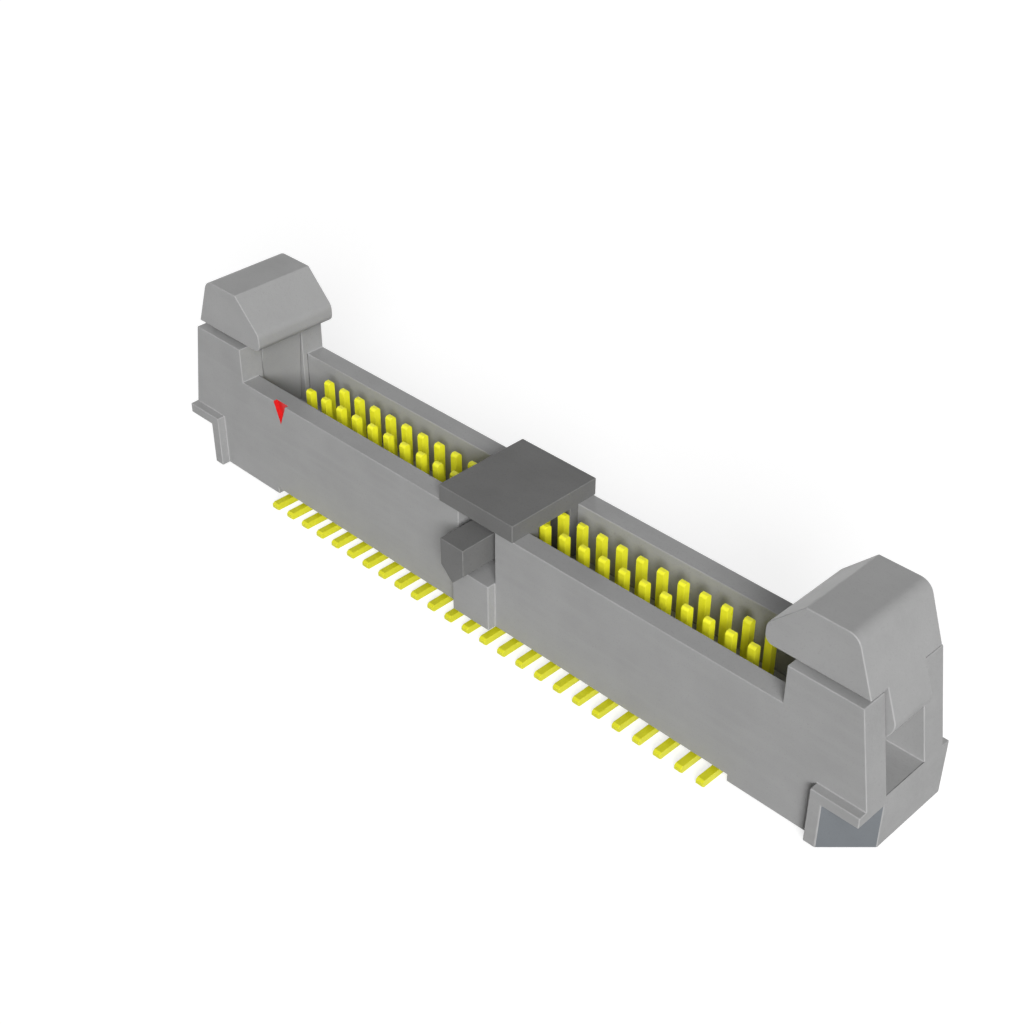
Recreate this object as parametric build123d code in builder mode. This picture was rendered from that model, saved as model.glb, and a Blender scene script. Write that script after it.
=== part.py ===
from build123d import *

import os
from math import pi, tan

# Surface-mount shrouded pin header with two ejector latches and a pick-and-place pad.
# Two rows of square gold posts stand in a long open-topped shroud. A taller two-legged
# tower at each end carries a latch that turns outward on moulded trunnions.
# X runs along the rows, the keyed front wall faces -Y, and Z is up.
# The origin is the middle of the two rows, on the board under the soldered leads.
# All sizes are in millimetres.

# Contact field
pitch = 1.27
positions_per_row = 25
row_spacing = 1.27

# Contacts: square wire, one post and one lead each
wire = 0.41
bend_inside_radius = 0.20
tip_bevel_length = 0.12
tip_bevel_depth = 0.10
lead_reach = 3.78
post_below_rim = 0.04

# Housing heights
foot_standoff = 0.25
wall_standoff = 0.64
base_thickness = 2.71
cavity_depth = 3.11
tower_rise = 2.04

# Housing lengths, measured outward from the last contact of a row
relief_past_last_contact = 0.79
cavity_past_last_contact = 3.20
tower_top_length = 3.80
foot_past_tower_top = 0.89
foot_length = 2.52

# Housing widths
cavity_width = 3.42
wall_thickness = 1.13
slot_width = 2.80
foot_proud = 0.49
foot_ledge_thickness = 0.58
foot_corner_cut = 1.90

# Keying slot in the front wall and the rib below it
key_slot_width = 2.54

# Triangular mark above contact one
mark_width = 1.00
mark_height = 1.27
mark_depth = 0.23

# Latch
latch_side_clearance = 0.05
latch_floor_clearance = 0.10
head_clearance = 0.25
head_width = 5.08
head_height = 2.80
nose_reach = 1.47
nose_slope_degrees = 45.0
nose_height = 1.00
nose_lower_radius = 0.45
nose_upper_radius = 0.60
head_outer_overhang = 0.095
latch_outer_lean_degrees = 19.6
head_corner_radius = 0.75
tail_drop = 1.84
tail_return_degrees = 60.0
tail_radius = 0.80
latch_inner_lean_degrees = 5.5
latch_toe_inset = 0.44
toe_radius = 0.15
heel_radius = 0.30

# Latch pivot
pivot_past_tower_face = 2.51
pivot_above_floor = 1.35
trunnion_radius = 0.45
trunnion_clearance = 0.05
trunnion_length = 0.60
trunnion_end_clearance = 0.10

# Pick-and-place pad
pad_length = 5.08
pad_overhang = 0.08
pad_thickness = 0.98
pad_wall_clearance = 0.02
pad_leg_thickness = 0.60
pad_floor_clearance = 0.06
key_width = 1.58
key_below_rim = 0.55
key_height = 2.33
key_reach = 1.67
key_point_degrees = 45.0

# Heights above the board
floor_z = wall_standoff + base_thickness
rim_z = floor_z + cavity_depth
tower_z = rim_z + tower_rise
ledge_z = floor_z - foot_ledge_thickness
post_top_z = rim_z - post_below_rim
head_z = tower_z + head_clearance
head_top_z = head_z + head_height
latch_foot_z = floor_z + latch_floor_clearance

# Distances from the middle along X
last_contact_x = (positions_per_row - 1) / 2 * pitch
relief_x = last_contact_x + relief_past_last_contact
tower_face_x = last_contact_x + cavity_past_last_contact
tower_top_x = tower_face_x + tower_top_length
foot_end_x = tower_top_x + foot_past_tower_top
foot_inner_x = foot_end_x - foot_length
pivot_x = tower_face_x + pivot_past_tower_face

# Distances from the middle along Y
cavity_y = cavity_width / 2
body_y = cavity_y + wall_thickness
foot_y = body_y + foot_proud
slot_y = slot_width / 2
latch_y = slot_y - latch_side_clearance
socket_y = latch_y + trunnion_length + trunnion_end_clearance

# The two latches are mirror images, so everything below is drawn for the +X end
# and mirrored. Sizes that run past a face to cut it cleanly use this margin.
margin = 1.0


def slope(angle):
    """Rise for each unit of run at an angle in degrees from the horizontal."""
    return tan(angle * pi / 180)


# Housing: one moulding with shroud, towers, feet, keying slot and floor holes
with BuildPart() as housing:
    # Side elevation of shroud and towers, taken across the whole width
    with BuildSketch(Plane.XZ) as elevation:
        with BuildLine():
            Polyline(
                (0, wall_standoff),
                (relief_x, wall_standoff),
                (relief_x, foot_standoff),
                (foot_end_x, foot_standoff),
                (foot_end_x, floor_z),
                (tower_top_x, tower_z),
                (tower_face_x, tower_z),
                (tower_face_x, rim_z),
                (0, rim_z),
                close=True,
            )
        make_face()
        mirror(about=Plane.YZ)
    extrude(amount=body_y, both=True)

    # Feet stand proud of both long faces
    foot_middle_x = (foot_inner_x + foot_end_x) / 2
    with BuildSketch(Plane.XY.offset(foot_standoff)):
        with Locations((-foot_middle_x, 0), (foot_middle_x, 0)):
            Rectangle(foot_length, 2 * foot_y)
    extrude(amount=floor_z - foot_standoff)

    # Rib below the keying slot, flush with the feet
    with BuildSketch(Plane.XY.offset(wall_standoff)):
        with Locations((0, -(body_y + foot_proud / 2))):
            Rectangle(key_slot_width, foot_proud)
    extrude(amount=base_thickness)

    # The front corners of both feet are cut away under the ledge
    with BuildSketch(Plane.XY.offset(foot_standoff)):
        with BuildLine():
            Polyline(
                (foot_end_x, -foot_y),
                (foot_end_x, -foot_y + foot_corner_cut),
                (foot_end_x - foot_corner_cut, -foot_y),
                close=True,
            )
        make_face()
        mirror(about=Plane.YZ)
    extrude(amount=ledge_z - foot_standoff, mode=Mode.SUBTRACT)

    # Cavity between the long walls, and the latch slots that run out at both ends
    with BuildSketch(Plane.XY.offset(floor_z)):
        Rectangle(2 * tower_face_x, cavity_width)
        Rectangle(2 * (foot_end_x + margin), slot_width)
    extrude(amount=tower_z - floor_z + margin, mode=Mode.SUBTRACT)

    # Keying slot through the front wall
    with BuildSketch(Plane.XY.offset(floor_z)):
        with Locations((0, -(cavity_y + wall_thickness / 2))):
            Rectangle(key_slot_width, wall_thickness + foot_proud)
    extrude(amount=cavity_depth + margin, mode=Mode.SUBTRACT)

    # Triangular recess above contact one, open at the rim
    with BuildSketch(Plane.XZ.offset(body_y)):
        with BuildLine():
            Polyline(
                (-last_contact_x - mark_width / 2, rim_z),
                (-last_contact_x + mark_width / 2, rim_z),
                (-last_contact_x, rim_z - mark_height),
                close=True,
            )
        make_face()
    extrude(amount=-mark_depth, mode=Mode.SUBTRACT)

    # Square holes that grip the posts
    with BuildSketch(Plane.XY.offset(wall_standoff)):
        with GridLocations(pitch, row_spacing, positions_per_row, 2):
            Rectangle(wire, wire)
    extrude(amount=base_thickness, mode=Mode.SUBTRACT)

    # Blind sockets for the latch trunnions, one in each tower leg
    with BuildSketch(Plane.XZ):
        with Locations((-pivot_x, floor_z + pivot_above_floor), (pivot_x, floor_z + pivot_above_floor)):
            Circle(trunnion_radius + trunnion_clearance)
    extrude(amount=socket_y, both=True, mode=Mode.SUBTRACT)

housing.part.label = "housing"


# Latch outline, drawn outward from the tower's inner face
outer_lean = slope(90 - latch_outer_lean_degrees)
head_outer_x = tower_top_x + head_outer_overhang
head_corner_x = head_outer_x - head_height / outer_lean
nose_x = tower_face_x - nose_reach
head_crest_x = nose_x + (head_height - nose_height) / slope(nose_slope_degrees)
tail_z = head_z - tail_drop
tail_x = head_outer_x + tail_drop / outer_lean
heel_x = tail_x - (tail_z - latch_foot_z) / slope(tail_return_degrees)
toe_x = tower_face_x + latch_toe_inset
inner_top_x = toe_x - (head_z - latch_foot_z) * slope(latch_inner_lean_degrees)

with BuildPart() as right_latch:
    # Head: a ramp for the mating plug above a rounded nose that hooks over it
    with BuildSketch(Plane.XZ):
        with BuildLine():
            FilletPolyline(
                (nose_x, head_z),
                (nose_x, head_z + nose_height),
                (head_crest_x, head_top_z),
                (head_corner_x, head_top_z),
                (head_outer_x, head_z),
                radius=[nose_lower_radius, nose_upper_radius, 0, head_corner_radius, 0],
                close=True,
            )
        make_face()
    extrude(amount=head_width / 2, both=True)

    # Stem in the slot, with its tail outside and its toe on the cavity side
    with BuildSketch(Plane.XZ):
        with BuildLine():
            FilletPolyline(
                (inner_top_x, head_z),
                (head_outer_x, head_z),
                (tail_x, tail_z),
                (heel_x, latch_foot_z),
                (toe_x, latch_foot_z),
                radius=[0, 0, tail_radius, heel_radius, toe_radius],
                close=True,
            )
        make_face()
    extrude(amount=latch_y, both=True)

    # Trunnions on both flanks of the stem
    with BuildSketch(Plane.XZ):
        with Locations((pivot_x, floor_z + pivot_above_floor)):
            Circle(trunnion_radius)
    extrude(amount=latch_y + trunnion_length, both=True)

right_latch.part.label = "right_latch"

with BuildPart() as left_latch:
    mirror(right_latch.part, about=Plane.YZ)

left_latch.part.label = "left_latch"


# Pick-and-place pad: a plate on the rims, two legs inside the walls, and a key in the slot
leg_outer_y = cavity_y - pad_wall_clearance
leg_inner_y = leg_outer_y - pad_leg_thickness
key_top_z = rim_z - key_below_rim
key_shoulder_z = key_top_z - key_height + key_width / 2 * slope(key_point_degrees)

with BuildPart() as pad:
    with BuildSketch(Plane.XY.offset(rim_z)):
        Rectangle(pad_length, 2 * (body_y + pad_overhang))
    extrude(amount=pad_thickness)

    with BuildSketch(Plane.XY.offset(floor_z + pad_floor_clearance)):
        leg_middle_y = (leg_inner_y + leg_outer_y) / 2
        with Locations((0, -leg_middle_y), (0, leg_middle_y)):
            Rectangle(pad_length, pad_leg_thickness)
    extrude(amount=cavity_depth - pad_floor_clearance)

    with BuildSketch(Plane.XZ.offset(leg_inner_y)):
        with BuildLine():
            Polyline(
                (-key_width / 2, key_top_z),
                (key_width / 2, key_top_z),
                (key_width / 2, key_shoulder_z),
                (0, key_top_z - key_height),
                (-key_width / 2, key_shoulder_z),
                close=True,
            )
        make_face()
    extrude(amount=body_y + key_reach - leg_inner_y)

pad.part.label = "pick_and_place_pad"


def build_front_contact(position):
    """Front-row contact: straight post, bend, and soldered lead, cut from square wire."""
    x = (position - 1) * pitch - last_contact_x
    inner_y = -(row_spacing - wire) / 2
    outer_y = inner_y - wire
    with BuildPart() as contact:
        with BuildSketch(Plane.YZ.offset(x - wire / 2)):
            with BuildLine():
                FilletPolyline(
                    (inner_y, post_top_z - tip_bevel_length),
                    (inner_y - tip_bevel_depth, post_top_z),
                    (outer_y + tip_bevel_depth, post_top_z),
                    (outer_y, post_top_z - tip_bevel_length),
                    (outer_y, wire),
                    (-lead_reach + tip_bevel_length, wire),
                    (-lead_reach, wire - tip_bevel_depth),
                    (-lead_reach, tip_bevel_depth),
                    (-lead_reach + tip_bevel_length, 0),
                    (inner_y, 0),
                    radius=[0, 0, 0, 0, bend_inside_radius, 0, 0, 0, 0, bend_inside_radius + wire],
                    close=True,
                )
            make_face()
        extrude(amount=wire)
    contact.part.label = f"contact_front_{position:02d}"
    return contact


# Write every piece, with the contacts numbered from the marked end
os.makedirs("parts", exist_ok=True)
export_step(housing.part, "parts/housing.step")
export_step(left_latch.part, "parts/left_latch.step")
export_step(right_latch.part, "parts/right_latch.step")
export_step(pad.part, "parts/pick_and_place_pad.step")

for position in range(1, positions_per_row + 1):
    front = build_front_contact(position)
    export_step(front.part, f"parts/{front.part.label}.step")
    with BuildPart() as back:
        mirror(front.part, about=Plane.XZ)
    back.part.label = f"contact_back_{position:02d}"
    export_step(back.part, f"parts/{back.part.label}.step")
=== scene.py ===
"""Studio scene of a surface-mount shrouded pin header with swinging latches and a pick-and-place pad.

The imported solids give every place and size. Each moulding and each contact is shown as a copy of its solid
with softened arrises, dressed in moulded grey plastic, dark plastic or gold plate.
"""

import logging
import math
from dataclasses import dataclass, field
from enum import Enum, IntEnum

import bmesh
import bpy
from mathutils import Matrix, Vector

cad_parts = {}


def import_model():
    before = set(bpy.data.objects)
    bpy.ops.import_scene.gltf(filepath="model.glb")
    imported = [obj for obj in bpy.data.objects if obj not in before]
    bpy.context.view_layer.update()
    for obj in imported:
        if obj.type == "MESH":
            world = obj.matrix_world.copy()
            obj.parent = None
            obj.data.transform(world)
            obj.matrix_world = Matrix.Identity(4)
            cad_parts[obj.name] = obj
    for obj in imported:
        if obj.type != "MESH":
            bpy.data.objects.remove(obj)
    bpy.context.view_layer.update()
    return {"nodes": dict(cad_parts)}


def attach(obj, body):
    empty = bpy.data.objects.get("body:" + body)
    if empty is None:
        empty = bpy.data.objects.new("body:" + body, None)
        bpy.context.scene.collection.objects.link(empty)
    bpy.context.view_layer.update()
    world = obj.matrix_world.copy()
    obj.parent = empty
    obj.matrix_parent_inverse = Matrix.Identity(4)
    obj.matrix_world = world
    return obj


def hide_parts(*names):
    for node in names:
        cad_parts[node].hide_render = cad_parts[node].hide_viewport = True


log = logging.getLogger("pin_header")

MM = 0.001
WHITE = (1.0, 1.0, 1.0, 1.0)
ARRIS_ATTRIBUTE = "arris"
CREVICE_ATTRIBUTE = "crevice"
NODE_NORMALS_ATTRIBUTE = "custom_normal"

# Sockets of a Mix node that blends colours
MIX_SHARE, MIX_FIRST, MIX_SECOND = 0, 6, 7
MIX_RESULT = 2

# Noise values between which patches and streaks come in
PATCH_RANGE = (0.3, 0.7)
STREAK_RANGE = (0.45, 0.75)

# The most that a streak shows, and the scale of its noise along, across and up the rows
STREAK_SHARE = 0.6
STREAK_SCALE = (0.06, 1.0, 1.0)

Colour = tuple[float, float, float]
Socket = bpy.types.NodeSocket
Nodes = dict[str, bpy.types.Object]


class Row(Enum):
    """The two rows of contacts, by the side of the housing that their leads leave from."""

    FRONT = "front"
    BACK = "back"


class Side(Enum):
    """The two ends of the housing, by the side that each latch stands on."""

    LEFT = "left"
    RIGHT = "right"


class HousingFinish(IntEnum):
    """The finishes of the housing, numbered as its material slots."""

    PLASTIC = 0
    MARK = 1
    # The feet's cut corners carry painted shade: a darker blue-grey over the same plastic.
    CUT_CORNER = 2


class ContactFinish(IntEnum):
    """The finishes of a contact, numbered as its material slots."""

    POST = 0
    # The leads get a darker copy of the posts' gold: painted shade.
    LEAD = 1


class NodeBench:
    """A node tree with short calls to place nodes, set their inputs and link them."""

    def __init__(self, tree: bpy.types.NodeTree) -> None:
        """Starts on the tree of a material, a world or a group."""
        self.tree = tree

    def add(self, kind: str, settings: dict | None = None, inputs: dict | None = None) -> bpy.types.Node:
        """Places one node.

        Args:
            kind: The node's type name.
            settings: Values of the node's own properties.
            inputs: Values or output sockets for its inputs, by name or number.

        Returns:
            The new node.
        """
        node = self.tree.nodes.new(kind)
        for name, value in (settings or {}).items():
            setattr(node, name, value)
        for name, value in (inputs or {}).items():
            if isinstance(value, Socket):
                self.tree.links.new(value, node.inputs[name])
            else:
                node.inputs[name].default_value = value
        return node

    def math(self, operation: str, first: Socket | float, second: Socket | float) -> Socket:
        """Gives the socket of a Math node's operation on two numbers."""
        return self.add("ShaderNodeMath", {"operation": operation}, {0: first, 1: second}).outputs[0]

    def ramp(self, value: Socket, low: float, high: float, to_low: float, to_high: float) -> Socket:
        """Gives the socket of a value mapped from one range of numbers to another, held at both ends."""
        inputs = {"Value": value, "From Min": low, "From Max": high, "To Min": to_low, "To Max": to_high}
        return self.add("ShaderNodeMapRange", {"clamp": True}, inputs).outputs["Result"]

    def blend(self, share: Socket | float, first: Socket | tuple, second: Socket | tuple) -> Socket:
        """Blends two colours.

        Args:
            share: Share of the second colour.
            first: First colour.
            second: Second colour.

        Returns:
            The blended colour's socket.
        """
        node = self.add("ShaderNodeMix", {"data_type": "RGBA"})
        for index, value in ((MIX_SHARE, share), (MIX_FIRST, first), (MIX_SECOND, second)):
            if isinstance(value, Socket):
                self.tree.links.new(value, node.inputs[index])
            elif index == MIX_SHARE:
                node.inputs[index].default_value = value
            else:
                node.inputs[index].default_value = (*value, 1.0)
        return node.outputs[MIX_RESULT]

    def noise(self, vector: Socket, scale: Socket | float, detail: float, roughness: float) -> Socket:
        """Gives the socket of a fractal noise from 0 to 1, with its scale in features per unit of place."""
        inputs = {"Vector": vector, "Scale": scale, "Detail": detail, "Roughness": roughness}
        return self.add("ShaderNodeTexNoise", {"noise_dimensions": "3D"}, inputs).outputs["Fac"]


class SharedEffects:
    """The effects that several materials share, each a shader node group that is built once."""

    def __init__(self) -> None:
        """Builds both groups."""
        self.grain = self._build_grain()
        self.edge_rub_highlight_and_shade = self._build_edge_rub_highlight_and_shade()

    @staticmethod
    def _start_group(name: str, inputs: dict[str, float], outputs: list[str]) -> tuple[NodeBench, dict, dict]:
        """Starts a group with number inputs and outputs.

        Args:
            name: Name of the group.
            inputs: Default of each input, by name.
            outputs: Names of the outputs.

        Returns:
            The bench, the input sockets by name, and the output node's sockets by name.
        """
        group = bpy.data.node_groups.new(name, "ShaderNodeTree")
        for label, value in inputs.items():
            socket = group.interface.new_socket(label, in_out="INPUT", socket_type="NodeSocketFloat")
            socket.default_value = value
        for label in outputs:
            group.interface.new_socket(label, in_out="OUTPUT", socket_type="NodeSocketFloat")
        bench = NodeBench(group)
        entry = bench.add("NodeGroupInput")
        end = bench.add("NodeGroupOutput")
        return bench, {key: entry.outputs[key] for key in inputs}, {key: end.inputs[key] for key in outputs}

    @staticmethod
    def _millimetres(bench: NodeBench) -> Socket:
        """Object coordinates in millimetres.

        Args:
            bench: The group's bench.

        Returns:
            The scaled vector's socket.
        """
        place = bench.add("ShaderNodeTexCoord").outputs["Object"]
        node = bench.add("ShaderNodeVectorMath", {"operation": "SCALE"}, {0: place, "Scale": 1.0 / MM})
        return node.outputs[0]

    def _build_grain(self) -> bpy.types.NodeTree:
        """The skin of a surface: a fine grain, cloudy patches, streaks along the rows and small specks.

        Returns:
            The group, with outputs Height, Patches, Streaks and Specks from 0 to 1.
        """
        sizes = {"Grains per mm": 6.0, "Patches per mm": 0.35, "Streaks per mm": 3.0, "Specks per mm": 12.0}
        bench, given, wanted = self._start_group(
            "surface_grain", sizes, ["Height", "Patches", "Streaks", "Specks"]
        )
        place = self._millimetres(bench)
        fine = bench.noise(place, given["Grains per mm"], detail=2.0, roughness=0.55)
        patches = bench.noise(place, given["Patches per mm"], detail=3.0, roughness=0.6)
        along = bench.add("ShaderNodeMapping", inputs={"Vector": place, "Scale": STREAK_SCALE}).outputs[0]
        streaks = bench.noise(along, given["Streaks per mm"], detail=2.0, roughness=0.5)
        dots = bench.noise(place, given["Specks per mm"], detail=1.0, roughness=0.5)
        specks = bench.ramp(dots, low=0.6, high=0.74, to_low=0.0, to_high=1.0)
        made = {"Height": fine, "Patches": patches, "Streaks": streaks, "Specks": specks}
        for label, socket in made.items():
            bench.tree.links.new(socket, wanted[label])
        return bench.tree

    def _build_edge_rub_highlight_and_shade(self) -> bpy.types.NodeTree:
        """Masks for the outer arrises, which carry rubbing and painted highlight, and for the inner corners,
        which carry painted shade, broken up so that no edge is even.

        Returns:
            The group, with outputs Arris and Crevice from 0 to 1.
        """
        bench, given, wanted = self._start_group("edge_rub_highlight_and_shade_group", {"Breaks per mm": 1.2}, ["Arris", "Crevice"])
        breaks = bench.noise(self._millimetres(bench), given["Breaks per mm"], detail=3.0, roughness=0.6)
        kept = bench.ramp(breaks, low=0.35, high=0.65, to_low=0.4, to_high=1.0)
        for attribute, label in ((ARRIS_ATTRIBUTE, "Arris"), (CREVICE_ATTRIBUTE, "Crevice")):
            edge = bench.add("ShaderNodeAttribute", {"attribute_name": attribute}).outputs["Fac"]
            bench.tree.links.new(bench.math("MULTIPLY", edge, kept), wanted[label])
        return bench.tree


@dataclass(frozen=True)
class Finish:
    """One finish of the part, from its colour and gloss to the size of its grain."""

    name: str
    colour: Colour
    # Lighter outer arrises: partly rubbing, partly painted highlight.
    edge_rub_and_highlight_colour: Colour
    # Darker inner corners: painted shade.
    crevice_shade_colour: Colour
    roughness: float
    roughness_spread: float
    grain_depth: float
    grains_per_mm: float
    patch_contrast: float
    streak_contrast: float
    speck_contrast: float = 0.0
    metallic: float = 0.0
    specular: float = 0.5

    def build(self, effects: SharedEffects) -> bpy.types.Material:
        """Makes the material.

        Args:
            effects: The shared node groups.

        Returns:
            The finished material.
        """
        material = bpy.data.materials.new(self.name)
        material.use_nodes = True
        tree = material.node_tree
        tree.nodes.clear()
        bench = NodeBench(tree)
        grain = bench.add("ShaderNodeGroup", {"node_tree": effects.grain})
        grain.inputs["Grains per mm"].default_value = self.grains_per_mm
        edge_rub_highlight_and_shade = bench.add("ShaderNodeGroup", {"node_tree": effects.edge_rub_highlight_and_shade})

        dark = tuple(channel * (1.0 - self.patch_contrast) for channel in self.colour)
        light = tuple(channel * (1.0 + self.patch_contrast) for channel in self.colour)
        body = bench.blend(bench.ramp(grain.outputs["Patches"], *PATCH_RANGE, 0.0, 1.0), dark, light)
        streaked = tuple(channel * (1.0 + self.streak_contrast) for channel in self.colour)
        streak_share = bench.ramp(grain.outputs["Streaks"], *STREAK_RANGE, 0.0, STREAK_SHARE)
        body = bench.blend(streak_share, body, streaked)
        specked = tuple(channel * (1.0 - self.speck_contrast) for channel in self.colour)
        body = bench.blend(grain.outputs["Specks"], body, specked)
        # Outer arrises are lightened, partly rubbing and partly painted highlight; inner corners are darkened
        # with painted shade.
        body = bench.blend(edge_rub_highlight_and_shade.outputs["Arris"], body, self.edge_rub_and_highlight_colour)
        body = bench.blend(edge_rub_highlight_and_shade.outputs["Crevice"], body, self.crevice_shade_colour)

        low = self.roughness - self.roughness_spread
        high = self.roughness + self.roughness_spread
        gloss = bench.ramp(grain.outputs["Patches"], *PATCH_RANGE, high, low)
        bump = bench.add(
            "ShaderNodeBump",
            inputs={"Strength": 1.0, "Distance": self.grain_depth, "Height": grain.outputs["Height"]},
        )
        shader = bench.add(
            "ShaderNodeBsdfPrincipled",
            inputs={
                "Base Color": body,
                "Roughness": gloss,
                "Metallic": self.metallic,
                "Specular IOR Level": self.specular,
                "Normal": bump.outputs["Normal"],
            },
        )
        bench.add("ShaderNodeOutputMaterial", inputs={"Surface": shader.outputs["BSDF"]})
        return material


HOUSING_PLASTIC = Finish(
    name="moulded_grey",
    colour=(0.335, 0.335, 0.335),
    edge_rub_and_highlight_colour=(0.39, 0.39, 0.39),
    crevice_shade_colour=(0.14, 0.14, 0.14),
    roughness=0.58,
    roughness_spread=0.06,
    grain_depth=0.010 * MM,
    grains_per_mm=6.0,
    patch_contrast=0.04,
    streak_contrast=0.06,
    speck_contrast=0.09,
    specular=0.35,
)
LATCH_PLASTIC = Finish(
    name="latch_grey",
    colour=(0.34, 0.34, 0.34),
    edge_rub_and_highlight_colour=(0.395, 0.395, 0.395),
    crevice_shade_colour=(0.15, 0.15, 0.15),
    roughness=0.5,
    roughness_spread=0.05,
    grain_depth=0.007 * MM,
    grains_per_mm=7.0,
    patch_contrast=0.04,
    streak_contrast=0.03,
    speck_contrast=0.07,
    specular=0.35,
)
PAD_PLASTIC = Finish(
    name="pad_dark_grey",
    colour=(0.165, 0.165, 0.163),
    edge_rub_and_highlight_colour=(0.205, 0.205, 0.202),
    crevice_shade_colour=(0.07, 0.07, 0.07),
    roughness=0.55,
    roughness_spread=0.06,
    grain_depth=0.010 * MM,
    grains_per_mm=6.0,
    patch_contrast=0.06,
    streak_contrast=0.03,
    speck_contrast=0.11,
    specular=0.12,
)
# A darker blue-grey for the cut corners of the feet: painted shade, on the same grey plastic as the rest of
# the housing.
CORNER_PAINTED_SHADE = Finish(
    name="corner_painted_shade",
    colour=(0.14, 0.152, 0.164),
    edge_rub_and_highlight_colour=(0.2, 0.212, 0.224),
    crevice_shade_colour=(0.1, 0.11, 0.12),
    roughness=0.5,
    roughness_spread=0.05,
    grain_depth=0.008 * MM,
    grains_per_mm=7.0,
    patch_contrast=0.05,
    streak_contrast=0.0,
    speck_contrast=0.08,
)
GOLD_PLATE = Finish(
    name="gold_plate",
    colour=(0.92, 0.9, 0.032),
    edge_rub_and_highlight_colour=(0.95, 0.93, 0.06),
    crevice_shade_colour=(0.6, 0.57, 0.02),
    roughness=0.33,
    roughness_spread=0.07,
    grain_depth=0.0012 * MM,
    grains_per_mm=11.0,
    patch_contrast=0.06,
    streak_contrast=0.0,
    metallic=0.1,
    specular=0.3,
)
# The leads' gold, darker than the posts': painted shade on the same gold plate as the posts.
GOLD_PLATE_SHADED = Finish(
    name="gold_plate_painted_shade",
    colour=(0.72, 0.71, 0.022),
    edge_rub_and_highlight_colour=(0.77, 0.76, 0.045),
    crevice_shade_colour=(0.48, 0.47, 0.016),
    roughness=0.38,
    roughness_spread=0.06,
    grain_depth=0.0015 * MM,
    grains_per_mm=11.0,
    patch_contrast=0.06,
    streak_contrast=0.0,
    metallic=0.1,
    specular=0.3,
)
MARK_PAINT = Finish(
    name="mark_red",
    colour=(0.62, 0.014, 0.014),
    edge_rub_and_highlight_colour=(0.66, 0.02, 0.02),
    crevice_shade_colour=(0.4, 0.008, 0.008),
    roughness=0.42,
    roughness_spread=0.04,
    grain_depth=0.002 * MM,
    grains_per_mm=9.0,
    patch_contrast=0.05,
    streak_contrast=0.0,
)


@dataclass(frozen=True)
class Box:
    """An upright box in the shared frame."""

    low: Vector
    high: Vector

    def holds(self, edge: bmesh.types.BMEdge) -> bool:
        """Whether both ends of an edge lie in the box.

        Args:
            edge: The edge.

        Returns:
            True inside the box.
        """
        return all(
            low <= place <= high
            for vertex in edge.verts
            for low, place, high in zip(self.low, vertex.co, self.high)
        )


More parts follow.
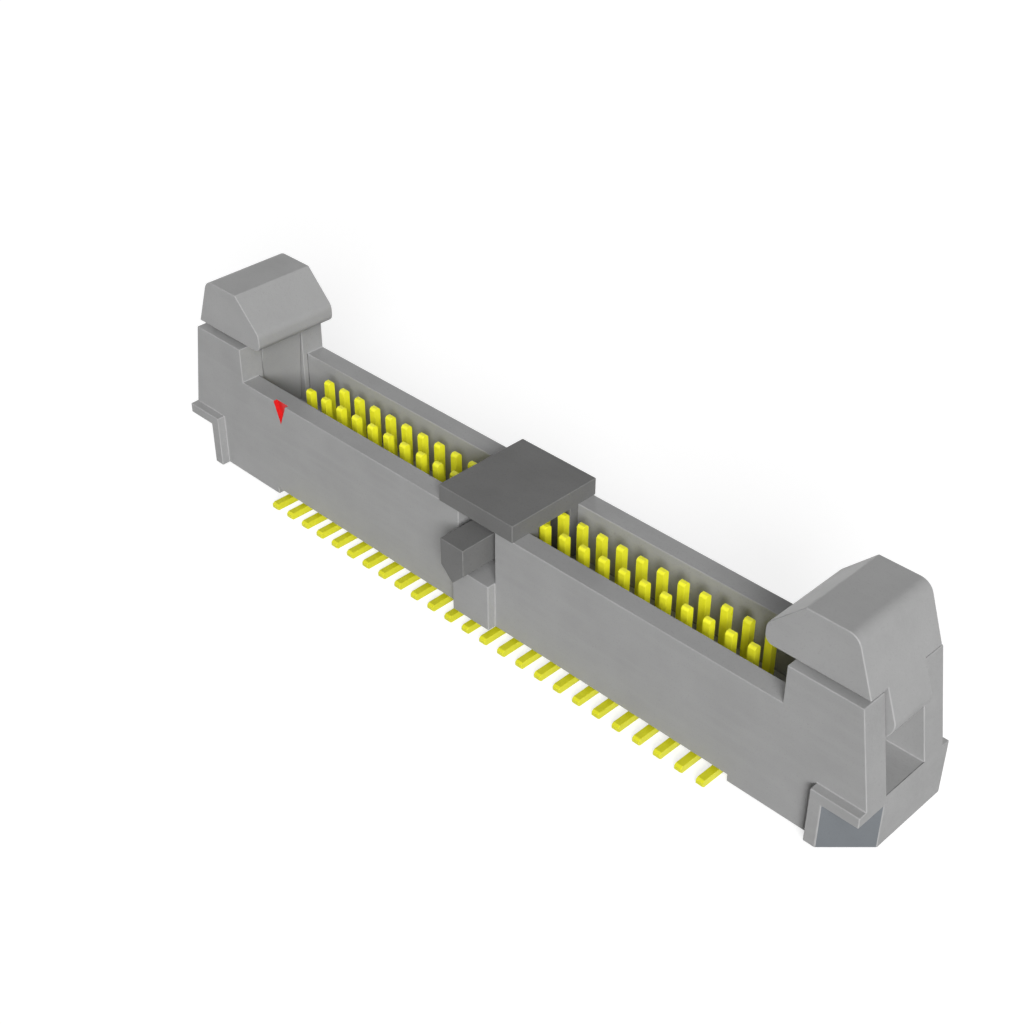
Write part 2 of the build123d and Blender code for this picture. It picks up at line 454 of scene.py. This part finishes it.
@dataclass
class SoftenedSolid:
    """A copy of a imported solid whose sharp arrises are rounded, so that they catch the light.

    Arrises inside a crisp box stay as they are, so that small features don't narrow the rounding of others.
    At a split height the faces are parted, so that each side of it can have its own finish.
    """

    node_name: str
    piece_name: str
    body: str
    slot: str
    arris_radius: float
    segments: int = 3
    crisp_boxes: tuple[Box, ...] = ()
    split_height: float | None = None
    sharp_above: float = math.radians(25.0)
    smooth_below: float = math.radians(40.0)
    bent_above: float = math.radians(3.0)
    weld_distance: float = 0.0002 * MM
    flat_within: float = math.radians(0.3)

    def build(self, node: bpy.types.Object) -> bpy.types.Object:
        """Makes the piece and lets it stand for its node.

        Args:
            node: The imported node's object, which is left as it is.

        Returns:
            The new piece, riding on its body.
        """
        work = self._rounded(node.data)
        if self.split_height is not None:
            self._part(work)
        piece = bpy.data.objects.new(self.piece_name, self._shaded(work))
        bpy.context.scene.collection.objects.link(piece)
        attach(piece, self.body)
        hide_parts(self.node_name)
        return piece

    def _rounded(self, source: bpy.types.Mesh) -> bmesh.types.BMesh:
        """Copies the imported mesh, rounds its sharp arrises and marks the faces that this makes.

        Args:
            source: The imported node's mesh.

        Returns:
            The working mesh.
        """
        work = bmesh.new()
        work.from_mesh(source)
        bmesh.ops.remove_doubles(work, verts=work.verts, dist=self.weld_distance)
        bmesh.ops.dissolve_limit(work, angle_limit=self.flat_within, verts=work.verts, edges=work.edges)
        for attribute in (ARRIS_ATTRIBUTE, CREVICE_ATTRIBUTE):
            work.faces.layers.float.new(attribute)
        sharp = [
            edge
            for edge in work.edges
            if edge.calc_face_angle(0.0) > self.sharp_above
            and not any(box.holds(edge) for box in self.crisp_boxes)
        ]
        made = bmesh.ops.bevel(
            work,
            geom=sharp,
            offset=self.arris_radius,
            offset_type="OFFSET",
            segments=self.segments,
            profile=0.5,
            affect="EDGES",
            clamp_overlap=True,
            material=-1,
        )
        self._mark_edges(work, made["faces"])
        return work

    def _part(self, work: bmesh.types.BMesh) -> None:
        """Parts the faces that cross the split height.

        The cut leaves the faces in an order that changes from run to run, so they are put in one of their own.

        Args:
            work: The piece's mesh.
        """
        bmesh.ops.bisect_plane(
            work,
            geom=[*work.verts, *work.edges, *work.faces],
            dist=self.weld_distance,
            plane_co=(0.0, 0.0, self.split_height),
            plane_no=(0.0, 0.0, 1.0),
        )
        work.verts.index_update()
        vertex_count = len(work.verts)
        work.faces.sort(key=lambda face: self._place_in_order(face, vertex_count))

    @staticmethod
    def _place_in_order(face: bmesh.types.BMFace, vertex_count: int) -> int:
        """Gives a face a number of its own, from its three lowest vertices.

        Args:
            face: The face.
            vertex_count: How many vertices the mesh has.

        Returns:
            The number that the faces are sorted by.
        """
        first, second, third = sorted(vertex.index for vertex in face.verts)[:3]
        return (first * vertex_count + second) * vertex_count + third

    def _shaded(self, work: bmesh.types.BMesh) -> bpy.types.Mesh:
        """Makes the finished mesh, flat on its faces and round on its arrises, and frees the working one.

        Args:
            work: The piece's mesh.

        Returns:
            The finished mesh.
        """
        work.normal_update()
        normals = [self._fan_normal(corner) for face in work.faces for corner in face.loops]
        mesh = bpy.data.meshes.new(self.piece_name)
        work.to_mesh(mesh)
        work.free()
        node_normals = mesh.attributes.get(NODE_NORMALS_ATTRIBUTE)
        if node_normals is not None:
            mesh.attributes.remove(node_normals)
        mesh.shade_smooth()
        mesh.set_sharp_from_angle(angle=self.smooth_below)
        mesh.normals_split_custom_set(normals)
        return mesh

    def _mark_edges(self, work: bmesh.types.BMesh, rounded: list[bmesh.types.BMFace]) -> None:
        """Marks each rounded face as an outer arris or an inner corner, for the finish to read.

        Args:
            work: The piece's mesh.
            rounded: The faces that the rounding made.
        """
        arris = work.faces.layers.float[ARRIS_ATTRIBUTE]
        crevice = work.faces.layers.float[CREVICE_ATTRIBUTE]
        for face in rounded:
            bent = [edge for edge in face.edges if edge.calc_face_angle(0.0) > self.bent_above]
            outward = sum(1 if edge.is_convex else -1 for edge in bent)
            face[arris if outward >= 0 else crevice] = 1.0

    def _fan_normal(self, corner: bmesh.types.BMLoop) -> Vector:
        """The normal that a face's corner is shaded with, which keeps flats even right up to their arrises.

        Args:
            corner: The corner.

        Returns:
            The mean normal, by area, of the faces that run smoothly into one another around the corner.
        """
        fan = [corner.face]
        for face in fan:
            for edge in face.edges:
                if corner.vert in edge.verts and edge.calc_face_angle(0.0) < self.smooth_below:
                    fan += [other for other in edge.link_faces if other not in fan]
        return sum((face.normal * face.calc_area() for face in fan), Vector()).normalized()


@dataclass
class Housing:
    """The grey moulding with its shroud, towers, feet and key slot, and the painted mark."""

    arris_radius: float = 0.045 * MM
    mark_slack: float = 0.02 * MM
    mark_middle_x: float = -15.24 * MM
    mark_half_width: float = 0.5 * MM
    mark_depth: float = 0.23 * MM
    mark_tip_z: float = 5.19 * MM
    rim_z: float = 6.46 * MM
    wall_y: float = -2.84 * MM
    rim_normal_z: float = 0.9
    corner_normal: float = math.cos(math.radians(45.0))
    corner_normal_slack: float = 0.01
    corner_area_above: float = MM ** 2
    passages: Box = Box(Vector((-15.6, -0.9, 0.0)) * MM, Vector((15.6, 0.9, 3.4)) * MM)
    left_sockets: Box = Box(Vector((-21.5, -2.2, 3.9)) * MM, Vector((-20.4, 2.2, 5.5)) * MM)
    right_sockets: Box = Box(Vector((20.4, -2.2, 3.9)) * MM, Vector((21.5, 2.2, 5.5)) * MM)

    def build(self, nodes: Nodes, finishes: dict[HousingFinish, bpy.types.Material]) -> bpy.types.Object:
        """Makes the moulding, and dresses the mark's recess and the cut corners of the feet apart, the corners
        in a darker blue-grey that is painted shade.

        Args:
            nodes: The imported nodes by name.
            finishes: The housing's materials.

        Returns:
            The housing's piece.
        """
        reach = Vector((self.mark_half_width, 0.0, 0.0)) + Vector.Fill(3, self.mark_slack)
        mark = Box(
            Vector((self.mark_middle_x, self.wall_y, self.mark_tip_z)) - reach,
            Vector((self.mark_middle_x, self.wall_y + self.mark_depth, self.rim_z)) + reach,
        )
        crisp = (mark, self.passages, self.left_sockets, self.right_sockets)
        solid = SoftenedSolid(
            "housing", "housing_moulding", "header", "housing", self.arris_radius, crisp_boxes=crisp
        )
        piece = solid.build(nodes["housing"])
        for finish in HousingFinish:
            piece.data.materials.append(finishes[finish])
        # The mark's recess gets its red paint; the feet's cut corners get painted shade, a darker blue-grey.
        for face in piece.data.polygons:
            if self._in_mark(face.center, face.normal):
                face.material_index = HousingFinish.MARK
            elif self._on_corner(face.normal, face.area):
                face.material_index = HousingFinish.CUT_CORNER
        return piece

    def _on_corner(self, normal: Vector, area: float) -> bool:
        """Whether a face is the upright 45 degree cut of a foot's front corner.

        Args:
            normal: The face's normal.
            area: The face's area, which is far larger than a rounded edge's.

        Returns:
            True on a cut corner.
        """
        off_x = abs(abs(normal.x) - self.corner_normal)
        off_y = abs(normal.y + self.corner_normal)
        return max(off_x, off_y) < self.corner_normal_slack and area > self.corner_area_above

    def _in_mark(self, centre: Vector, normal: Vector) -> bool:
        """Whether a face is one of the recess's three inner faces.

        Args:
            centre: The face's middle.
            normal: The face's normal.

        Returns:
            True inside the mark's recess.
        """
        beside = abs(centre.x - self.mark_middle_x) < self.mark_half_width + self.mark_slack
        inside = self.wall_y + self.mark_slack < centre.y < self.wall_y + self.mark_depth + self.mark_slack
        return beside and inside and normal.z < self.rim_normal_z


@dataclass
class Latch:
    """One swinging latch, with its ramped head, its stem and its hidden trunnions."""

    side: Side
    arris_radius: float = 0.05 * MM

    def build(self, nodes: Nodes, plastic: bpy.types.Material) -> bpy.types.Object:
        """Makes the latch.

        Args:
            nodes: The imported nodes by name.
            plastic: The latch's material.

        Returns:
            The latch's piece.
        """
        name = f"{self.side.value}_latch"
        piece = SoftenedSolid(name, f"{name}_moulding", name, "latch", self.arris_radius).build(nodes[name])
        piece.data.materials.append(plastic)
        return piece


@dataclass
class Pad:
    """The pick-and-place pad that is lifted off before use."""

    arris_radius: float = 0.04 * MM

    def build(self, nodes: Nodes, plastic: bpy.types.Material) -> bpy.types.Object:
        """Makes the pad.

        Args:
            nodes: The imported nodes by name.
            plastic: The pad's material.

        Returns:
            The pad's piece.
        """
        name = "pick_and_place_pad"
        piece = SoftenedSolid(name, f"{name}_moulding", "header", "pad", self.arris_radius).build(nodes[name])
        piece.data.materials.append(plastic)
        return piece


@dataclass
class ContactRow:
    """One row of contacts, gold on their posts, and on their leads a darker copy of the same gold that is
    painted shade.
    """

    row: Row
    arris_radius: float = 0.013 * MM
    segments: int = 2
    lead_top_z: float = 0.62 * MM

    def build(
        self, nodes: Nodes, plating: dict[ContactFinish, bpy.types.Material]
    ) -> list[bpy.types.Object]:
        """Makes every contact of the row.

        Args:
            nodes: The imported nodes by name.
            plating: The contacts' materials.

        Returns:
            The row's pieces, in order.
        """
        prefix = f"contact_{self.row.value}_"
        pieces = []
        for name in sorted(key for key in nodes if key.startswith(prefix)):
            solid = SoftenedSolid(
                name,
                f"plated_{name}",
                "header",
                "contact",
                self.arris_radius,
                segments=self.segments,
                split_height=self.lead_top_z,
            )
            piece = solid.build(nodes[name])
            for finish in ContactFinish:
                piece.data.materials.append(plating[finish])
            # Faces below the split height, the leads, get the darker gold that is painted shade.
            for face in piece.data.polygons:
                if face.center.z < self.lead_top_z:
                    face.material_index = ContactFinish.LEAD
            pieces.append(piece)
        return pieces


@dataclass
class Camera:
    """The picture's own view, solved from the corners of the part that it shows."""

    target: Vector = field(default_factory=lambda: Vector((-0.168, -0.220, 5.602)) * MM)
    distance: float = 80.753 * MM
    azimuth: float = math.radians(45.0)
    elevation: float = math.radians(35.264)
    focal_pixels: float = 1627.8
    picture_pixels: float = 1024.0
    sensor_width: float = 36.0
    clip_start_share: float = 0.05
    clip_end_share: float = 50.0

    def build(self) -> bpy.types.Object:
        """Makes the camera and makes it the scene's own.

        Returns:
            The camera.
        """
        data = bpy.data.cameras.new("camera")
        data.sensor_width = self.sensor_width
        data.lens = self.sensor_width * self.focal_pixels / self.picture_pixels
        data.clip_start = self.distance * self.clip_start_share
        data.clip_end = self.distance * self.clip_end_share
        camera = bpy.data.objects.new("camera", data)
        back = Vector((
            math.sin(self.azimuth) * math.cos(self.elevation),
            -math.cos(self.azimuth) * math.cos(self.elevation),
            math.sin(self.elevation),
        ))
        camera.location = self.target + back * self.distance
        camera.rotation_euler = (-back).to_track_quat("-Z", "Y").to_euler()
        bpy.context.scene.collection.objects.link(camera)
        bpy.context.scene.camera = camera
        return camera


@dataclass
class Softbox:
    """A large, even lamp that looks at the part.

    Its strength is the brightness that it gives a white matt surface that faces it.
    """

    name: str
    direction: Vector
    size: float
    strength: float
    distance: float = 0.90
    mirrored: bool = True

    def build(self, target: Vector) -> bpy.types.Object:
        """Makes the lamp.

        Args:
            target: The point that it looks at.

        Returns:
            The lamp.
        """
        data = bpy.data.lights.new(self.name, "AREA")
        data.shape = "DISK"
        data.size = self.size
        # An even lamp of P watts lights a white surface at a distance d to a brightness of P / (pi * d)^2.
        data.energy = self.strength * (math.pi * self.distance) ** 2
        lamp = bpy.data.objects.new(self.name, data)
        lamp.visible_glossy = self.mirrored
        away = self.direction.normalized()
        lamp.location = target + away * self.distance
        lamp.rotation_euler = (-away).to_track_quat("-Z", "Y").to_euler()
        bpy.context.scene.collection.objects.link(lamp)
        return lamp


@dataclass
class Studio:
    """A pale floor, a white surround and soft lamps."""

    floor_half_size: float = 1.5
    floor_drop: float = 0.002 * MM
    floor_colour: Colour = (0.42, 0.42, 0.42)
    floor_bounce_colour: Colour = (0.18, 0.18, 0.18)
    floor_glow: float = 0.755
    shadow_reach: float = 0.05
    horizon_reach: float = 0.35
    surround_strength: float = 0.04
    middle: Vector = field(default_factory=lambda: Vector((0.0, 0.0, 4.0)) * MM)
    lamps: tuple[Softbox, ...] = (
        Softbox("key_softbox", Vector((0.675, -0.625, 0.38)), size=0.40, strength=0.84, mirrored=False),
        Softbox("front_softbox", Vector((0.61, -0.56, 0.57)), size=0.60, strength=0.50),
        Softbox("back_softbox", Vector((-0.69, 0.72, 0.08)), size=0.14, strength=1.05, mirrored=False),
    )

    def build(self) -> None:
        """Makes the floor, the surround and the lamps."""
        self._build_floor()
        self._build_surround()
        for lamp in self.lamps:
            lamp.build(self.middle)
        bpy.context.scene.view_settings.view_transform = "Standard"

    @staticmethod
    def _seen_directly(bench: NodeBench) -> Socket:
        """A mask of the rays that carry the background: the camera's own, and those seen in gloss or glass.

        Args:
            bench: The material's or world's bench.

        Returns:
            The mask's socket.
        """
        path = bench.add("ShaderNodeLightPath").outputs
        glossy = bench.math("MAXIMUM", path["Is Camera Ray"], path["Is Glossy Ray"])
        return bench.math("MAXIMUM", glossy, path["Is Transmission Ray"])

    def _build_floor(self) -> None:
        """Makes the floor, which keeps the part's shadow and lets a view from below see through it."""
        work = bmesh.new()
        bmesh.ops.create_grid(work, x_segments=1, y_segments=1, size=self.floor_half_size)
        bmesh.ops.translate(work, vec=(0.0, 0.0, -self.floor_drop), verts=work.verts)
        mesh = bpy.data.meshes.new("floor")
        work.to_mesh(mesh)
        work.free()
        mesh.materials.append(self._floor_material())
        floor = bpy.data.objects.new("floor", mesh)
        bpy.context.scene.collection.objects.link(floor)

    def _floor_material(self) -> bpy.types.Material:
        """Makes the floor's material, pale near the part and white far from it.

        Returns:
            The finished material.
        """
        material = bpy.data.materials.new("pale_floor")
        material.use_nodes = True
        material.node_tree.nodes.clear()
        bench = NodeBench(material.node_tree)
        bounced = bench.add("ShaderNodeLightPath").outputs["Is Diffuse Ray"]
        colour = bench.blend(bounced, self.floor_colour, self.floor_bounce_colour)
        plain = bench.add("ShaderNodeBsdfDiffuse", inputs={"Color": colour}).outputs[0]
        place = bench.add("ShaderNodeTexCoord").outputs["Object"]
        reach = bench.add("ShaderNodeVectorMath", {"operation": "LENGTH"}, {0: place}).outputs["Value"]
        pale = bench.ramp(reach, self.shadow_reach, self.horizon_reach, self.floor_glow, 1.0)
        glow_inputs = {"Color": WHITE, "Strength": bench.math("MULTIPLY", self._seen_directly(bench), pale)}
        glow = bench.add("ShaderNodeEmission", inputs=glow_inputs).outputs[0]
        lit = bench.add("ShaderNodeAddShader", inputs={0: plain, 1: glow}).outputs[0]
        clear = bench.add("ShaderNodeBsdfTransparent").outputs[0]
        under = bench.add("ShaderNodeNewGeometry").outputs["Backfacing"]
        surface = bench.add("ShaderNodeMixShader", inputs={0: under, 1: lit, 2: clear}).outputs[0]
        bench.add("ShaderNodeOutputMaterial", inputs={"Surface": surface})
        return material

    def _build_surround(self) -> None:
        """Makes the world: white where it is seen, and a soft grey where it lights the part."""
        world = bpy.data.worlds.new("white_surround")
        bpy.context.scene.world = world
        world.use_nodes = True
        world.node_tree.nodes.clear()
        bench = NodeBench(world.node_tree)
        strength = bench.ramp(self._seen_directly(bench), 0.0, 1.0, self.surround_strength, 1.0)
        shine = bench.add("ShaderNodeBackground", inputs={"Color": WHITE, "Strength": strength}).outputs[0]
        bench.add("ShaderNodeOutputWorld", inputs={"Surface": shine})


def main() -> None:
    """Builds the part's pieces, dresses them, and sets up the camera and the studio."""
    logging.basicConfig(level=logging.INFO, format="%(name)s: %(message)s")
    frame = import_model()
    nodes = frame["nodes"]

    effects = SharedEffects()
    housing_finishes = {
        HousingFinish.PLASTIC: HOUSING_PLASTIC.build(effects),
        HousingFinish.MARK: MARK_PAINT.build(effects),
        HousingFinish.CUT_CORNER: CORNER_PAINTED_SHADE.build(effects),
    }
    latch_plastic = LATCH_PLASTIC.build(effects)
    pad_plastic = PAD_PLASTIC.build(effects)
    plating = {
        ContactFinish.POST: GOLD_PLATE.build(effects),
        ContactFinish.LEAD: GOLD_PLATE_SHADED.build(effects),
    }

    pieces = [Housing().build(nodes, housing_finishes)]
    pieces += [Latch(side).build(nodes, latch_plastic) for side in Side]
    pieces.append(Pad().build(nodes, pad_plastic))
    for row in Row:
        pieces += ContactRow(row).build(nodes, plating)
    for piece in pieces:
        log.info("%s: %d faces", piece.name, len(piece.data.polygons))

    Camera().build()
    Studio().build()


if __name__ == "__main__":
    main()
